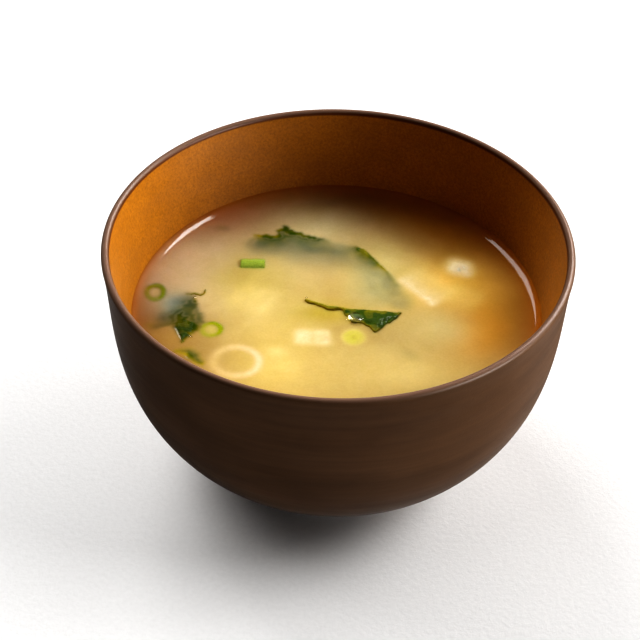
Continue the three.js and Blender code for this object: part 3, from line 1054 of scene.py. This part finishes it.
surface = [(0, 0)]
for k, radius in enumerate(ring_radii[1:], start=1):
    turns = np.arange(6 * k) * math.pi / (3 * k)
    surface.extend(zip(radius * np.cos(turns), radius * np.sin(turns)))
surface = np.array(surface)


# %% Heights and colours on the surface
def on_grid(grid, places):
    """Values of a grid at places between its points."""
    spot = np.clip((places + SOUP_RADIUS) / PITCH, 0, grid_side - 1.001)
    i, j = spot.astype(int).T
    f, g = (spot - np.floor(spot)).T
    if grid.ndim == 3:
        f, g = f[:, None], g[:, None]
    near = grid[i, j] * (1 - f) + grid[i + 1, j] * f
    beyond = grid[i, j + 1] * (1 - f) + grid[i + 1, j + 1] * f
    return near * (1 - g) + beyond * g


PIECE_CLIMB = 0.13
CLIMB_REACH = 0.5
BREAKS_SURFACE = 0.05
breaking = layers[0][0] < BREAKS_SURFACE
climb = blurred(breaking.astype(float), CLIMB_REACH)
from_centre = np.linalg.norm(surface, axis=1)
from_wall = contact_r - from_centre
heights = LEVEL + MENISCUS_CLIMB * np.exp(-from_wall / MENISCUS_FALLOFF)
heights += PIECE_CLIMB * on_grid(climb, surface)

# %% [markdown]
# Near the wall the broth is shallow, and the amber lacquer warms it. The depth of broth over the
# wall is known from the wall's curve, so the warmth fades out with that depth. Towards the right
# it reaches further: there the warm colour is painted shade of the rim, warmed by light off the
# amber wall.

# %% Warmth near the wall
WALL_WARMTH = np.array(colour(152, 85, 18))
WARM_FADE = 3.3
# Painted shade: on the right the warm colour reaches further, the rim's shade warmed by light off the amber
# wall.
WARM_FADE_SHADED = 2.4
SHADED_SIDE = (0.8, 0.6)
toward_shaded_side = np.clip(surface @ SHADED_SIDE / np.maximum(from_centre, 1), 0, 1)
warm = np.exp(-from_wall / (WARM_FADE + WARM_FADE_SHADED * toward_shaded_side))[:, None]
surface_colour = on_grid(seen_grid, surface)
surface_colour += (WALL_WARMTH - surface_colour) * warm


# %% Faces of the honeycomb
def first_of_ring(k):
    """The number of the first point of ring k."""
    return 1 + 3 * k * (k - 1) if k else 0


def honeycomb(rings):
    """Triangles between rings of points, where ring number k has six times k points."""
    faces = []
    for k in range(1, rings):
        outer, inner = first_of_ring(k), first_of_ring(k - 1)
        around, inside = 6 * k, max(6 * (k - 1), 1)
        for side in range(6):
            for i in range(k):
                a, b = (side * k + i) % around, (side * k + i + 1) % around
                c = (side * (k - 1) + i) % inside
                faces.append((outer + a, outer + b, inner + c))
                if i < k - 1:
                    d = (side * (k - 1) + i + 1) % inside
                    faces.append((outer + b, inner + d, inner + c))
    return faces


broth_faces = honeycomb(len(ring_radii))
edge_count = 6 * (len(ring_radii) - 1)
edge_start = len(surface) - edge_count

# %% [markdown]
# The skin below the surface runs down inside the wall, a hair clear of the lacquer, and closes at
# the middle of the floor.

# %% The skin below
UNDER_STEPS = 18
GAP = 0.3


def skin_below():
    """Rings of points that follow the wall down from the edge of the surface to the floor."""
    shares = np.linspace(0, 1, WALL_STEPS + 1)
    start = float(np.interp(-contact_z, -wall[:, 1], shares))
    rings = []
    for t in np.linspace(start, 1, UNDER_STEPS + 2)[1:-1]:
        here = np.array([np.interp(t, shares, wall[:, 0]), np.interp(t, shares, wall[:, 1])])
        ahead = np.array([np.interp(t + 0.01, shares, wall[:, 0]), np.interp(t + 0.01, shares, wall[:, 1])])
        along = (ahead - here) / np.linalg.norm(ahead - here)
        rings.append(here + GAP * np.array([along[1], -along[0]]))
    return rings


turns = np.arange(edge_count) * 2 * math.pi / edge_count
below = [
    np.stack([r * np.cos(turns), r * np.sin(turns), np.full(edge_count, z)], axis=1) for r, z in skin_below()
]
top = np.column_stack([surface, heights])
broth_points = np.vstack([top, *below, [(0, 0, FLOOR + GAP)]])
starts = [edge_start] + [len(top) + k * edge_count for k in range(UNDER_STEPS)]
for high, low in zip(starts, starts[1:]):
    for i in range(edge_count):
        j = (i + 1) % edge_count
        broth_faces.append((high + j, high + i, low + i, low + j))
for i in range(edge_count):
    broth_faces.append((starts[-1] + (i + 1) % edge_count, starts[-1] + i, len(broth_points) - 1))

# %% [markdown]
# ## The finish of the broth
#
# Miso soup is opaque, golden and wet. Its shader is a smooth surface with the index of water over
# a body that scatters light, so the shadow of the rim has a soft, warm border. The colour that
# each point carries is broken up by noise at two sizes: clouds of miso several millimetres
# across, and single specks.

# %% Broth finish
LIGHT_INTO_BROTH = 5


def broth_finish():
    """Wet and cloudy, in the colours that the surface carries."""
    finish, tree, shader = new_finish(
        "broth",
        Roughness=0.05,
        IOR=1.34,
        Subsurface_Weight=0.35,
        Subsurface_Radius=(1.0, 0.7, 0.3),
        Subsurface_Scale=LIGHT_INTO_BROTH * MM,
    )
    seen = add_attribute(tree, "seen", "Color")
    clouds = add_noise(tree, 9, detail=4, roughness=0.55, distortion=0.4)
    specks = add_noise(tree, 0.5, detail=2, roughness=0.7)
    drifts = add_ramp(tree, clouds, [(0.3, (0.9, 0.88, 0.8)), (0.7, (1, 1, 1))])
    cloudy = add_mix(tree, 1.0, seen, drifts, "MULTIPLY")
    specked = add_ramp(tree, specks, [(0.3, (0.93, 0.92, 0.88)), (0.7, (1, 1, 1))])
    tree.links.new(add_mix(tree, 1.0, cloudy, specked, "MULTIPLY"), shader.inputs["Base Color"])
    return finish


broth_matter = broth_finish()
broth = add_piece("broth_cloudy", broth_points, broth_faces, broth_matter, "broth", ["broth"])
below_count = len(broth_points) - len(top)
carry_paint(broth.data, np.vstack([surface_colour, np.tile(BROTH, (below_count, 1))]), "seen")

# %% [markdown]
# ## Bubbles
#
# One large bubble rests on the flap of seaweed, a little above the broth, and a few tiny ones sit
# by the leaves. A bubble is a thin dome of water: clear, with one bright spot of each lamp. A thin
# closed shell with a transmissive shader does that.

# %% Bubbles
def bubble_form(x, y, lift, radius, height, around=40, rows=10, film=0.07):
    """A thin closed dome on the surface of the broth."""
    tilt = np.linspace(0, math.pi / 2, rows)
    outer = np.stack([radius * np.cos(tilt), height * np.sin(tilt)], axis=1)
    inner = np.stack([(radius - film) * np.cos(tilt), (height - film) * np.sin(tilt)], axis=1)
    section = np.vstack([inner[::-1], outer]) + (0, LEVEL - 0.05)
    section[[0, -1], 0] = 0
    points, faces = turned(section, around)
    return points + (x, y, lift), faces


def water_finish():
    """Clear water, a little rippled."""
    finish, tree, shader = new_finish(
        "broth_film", Roughness=0.02, IOR=1.33, Transmission_Weight=1.0, Base_Color=(1, 0.97, 0.85, 1)
    )
    ripple = add_noise(tree, 1.2, detail=1)
    add_bump(tree, shader, ripple, 0.02)
    return finish


BUBBLES = [
    (4.75, -2.9, 0.4, 2.1, 0.55),
    (34, 36, 0, 0.45, 0.35),
    (-36.2, 3.7, 0, 0.5, 0.4),
    (-36.2, -11.6, 0, 0.55, 0.45),
    (-7.8, 4.8, 0, 0.35, 0.3),
]
water = water_finish()
for number, bubble in enumerate(BUBBLES, start=1):
    add_piece(f"bubble_{number}", *bubble_form(*bubble), water, "broth")

# %% [markdown]
# ## Floor and light
#
# The bowl stands on a pale board with a fine plaster grain, under soft studio light. The light
# comes from behind: it throws the shadow towards the front, leaves the near wall of the bowl dark
# and lights the inner wall on the left. In a studio, flags and screens keep a lamp off one thing
# and on another. Blender has light linking for that, and what takes a flag there is a list of
# names here: some boxes light only the floor, some light all but the floor, and one adds light to the
# food. Diffuse light and mirror images can be parted too. The windows give no diffuse light. Two
# of them show only in the broth and its bubbles, most of all where the broth rises at the wall, one
# gives the wet leaves their glints, and two draw the pale line along the lip and the sheen of the
# outer wall. The floor is left out of mirror images, so that it doesn't grey the dark lacquer. The
# world adds an even weak light, and only looks white where the camera sees it directly.

# %% Floor
def plaster_finish():
    """A pale board with a fine grain."""
    finish, tree, shader = new_finish("plaster", Roughness=0.75, IOR=1.4)
    grain = add_noise(tree, 1.3, detail=6, roughness=0.65)
    paint = add_ramp(tree, grain, [(0.3, colour(238, 237, 236)), (0.7, colour(244, 243, 242))])
    tree.links.new(paint, shader.inputs["Base Color"])
    add_bump(tree, shader, grain, 0.1)
    return finish


FLOOR_REACH = 3000
FLOOR_Z = -0.02
corners = [(-1, -1), (1, -1), (1, 1), (-1, 1)]
floor_points = [(x * FLOOR_REACH * MM, y * FLOOR_REACH * MM, FLOOR_Z * MM) for x, y in corners]
floor_mesh = bpy.data.meshes.new("floor")
floor_mesh.from_pydata(floor_points, [], [(0, 1, 2, 3)])
floor_mesh.materials.append(plaster_finish())
floor = bpy.data.objects.new("floor", floor_mesh)
bpy.context.scene.collection.objects.link(floor)
floor.visible_glossy = False


# %% Lights
def kept_to(name, things, state):
    """A collection that keeps a light to those things, or keeps it off them."""
    chosen = bpy.data.collections.new(name)
    for thing in things:
        chosen.objects.link(thing)
    for entry in chosen.collection_objects:
        entry.light_linking.link_state = state
    return chosen


on_floor = kept_to("lit_floor", [floor], "INCLUDE")
off_floor = kept_to("lit_bowl", [floor], "EXCLUDE")


def add_light(name, kept, azimuth, elevation, power, wide=1.0, tall=1.0, distance=2.0, mirrored=True):
    """A soft box that faces the bowl, from azimuth degrees round from the right."""
    lamp = bpy.data.lights.new(name, "AREA")
    lamp.shape = "RECTANGLE"
    lamp.size = wide
    lamp.size_y = tall
    lamp.energy = power
    light = bpy.data.objects.new(name, lamp)
    round_, up = math.radians(azimuth), math.radians(elevation)
    direction = Vector((math.cos(round_) * math.cos(up), math.sin(round_) * math.cos(up), math.sin(up)))
    light.location = Vector((0, 0, LEVEL * MM)) + direction * distance
    light.rotation_euler = direction.to_track_quat("Z", "Y").to_euler()
    light.light_linking.receiver_collection = kept
    light.visible_glossy = mirrored
    bpy.context.scene.collection.objects.link(light)
    return light


FLOOR_LIGHTS = {
    "floor_back_right": (60, 10, 19.8),
    "floor_back": (90, 10, 12.8),
    "floor_front_left": (238, 12, 3),
    "floor_right": (30, 25, 13.2),
    "floor_side": (0, 42, 19.4),
    "floor_left": (120, 42, 15.6),
    "floor_back_left": (150, 42, 10.4),
    "floor_high": (200, 62, 4.4),
}
for name, (azimuth, elevation, power) in FLOOR_LIGHTS.items():
    add_light(name, on_floor, azimuth, elevation, power)
BOWL_LIGHTS = {
    "side_low": (-6, 15, 35),
    "key_low": (30, 15, 29),
    "key": (30, 32, 17),
    "back": (120, 32, 37),
    "front": (300, 32, 4),
}
for name, (azimuth, elevation, power) in BOWL_LIGHTS.items():
    add_light(name, off_floor, azimuth, elevation, power, mirrored=False)

food = [piece for piece in pieces if piece is not bowl]
on_food = kept_to("lit_food", food, "INCLUDE")
add_light("soup_back", on_food, 120, 45, 15, mirrored=False)
shiny = [piece for piece in pieces if piece.name.startswith(("broth", "bubble"))]
on_shiny = kept_to("lit_shiny", shiny, "INCLUDE")
leaves = [piece for piece in pieces if piece.name.startswith("wakame")]
on_leaves = kept_to("lit_leaves", leaves, "INCLUDE")
on_bowl = kept_to("lit_wall", [bowl], "INCLUDE")

# %% [markdown]
# Each window is given by what shows it, where it stands, its width and height in metres, and its
# power.

# %% Windows
WINDOWS = {
    "window_right": (on_shiny, 44, 55, 1.05, 0.4, 20),
    "window_left": (on_shiny, 123, 44, 0.85, 0.75, 12),
    "glint": (on_leaves, 70, 50, 0.3, 0.3, 5),
    "sheen_lip": (on_bowl, 48, 37, 1.4, 0.8, 52),
    "sheen_right": (on_bowl, -25, 10, 1.0, 1.0, 120),
}
for name, (kept, azimuth, elevation, wide, tall, power) in WINDOWS.items():
    window = add_light(name, kept, azimuth, elevation, power, wide, tall)
    window.visible_diffuse = False


# %% World
def studio_world(strength):
    """A white world that lights the bowl only weakly."""
    world = bpy.data.worlds.new("studio")
    world.use_nodes = True
    tree = world.node_tree
    lighting = tree.nodes["Background"]
    lighting.inputs["Color"].default_value = (1, 1, 1, 1)
    lighting.inputs["Strength"].default_value = strength
    seen = tree.nodes.new("ShaderNodeBackground")
    seen.inputs["Color"].default_value = (1, 1, 1, 1)
    path = tree.nodes.new("ShaderNodeLightPath")
    either = tree.nodes.new("ShaderNodeMixShader")
    tree.links.new(path.outputs["Is Camera Ray"], either.inputs["Fac"])
    tree.links.new(lighting.outputs["Background"], either.inputs[1])
    tree.links.new(seen.outputs["Background"], either.inputs[2])
    tree.links.new(either.outputs["Shader"], tree.nodes["World Output"].inputs["Surface"])
    bpy.context.scene.world = world


WORLD_STRENGTH = 0.02
studio_world(WORLD_STRENGTH)
bpy.context.scene.view_settings.view_transform = "Standard"
bpy.context.scene.view_settings.look = "High Contrast"

# %% [markdown]
# ## Camera
#
# A long lens, a little over 100 mm, stands a little less than half a metre away and looks down at
# forty degrees, as somebody does who is about to eat.

# %% Camera
LENS = 101.25
CAMERA_PLACE = (0, -0.347824, 0.338790)
RIGHT = (0.99964064, 0.02330795, 0.01324092)
UP = (-0.02521306, 0.64976122, 0.75972012)
AHEAD = (-0.00910409, 0.75978095, -0.65011539)

lens = bpy.data.cameras.new("camera")
lens.lens = LENS
camera = bpy.data.objects.new("camera", lens)
camera.location = CAMERA_PLACE
backward = -Vector(AHEAD)
axes = Matrix((RIGHT, UP, backward)).transposed()
camera.rotation_euler = axes.to_euler()
bpy.context.scene.collection.objects.link(camera)
bpy.context.scene.camera = camera
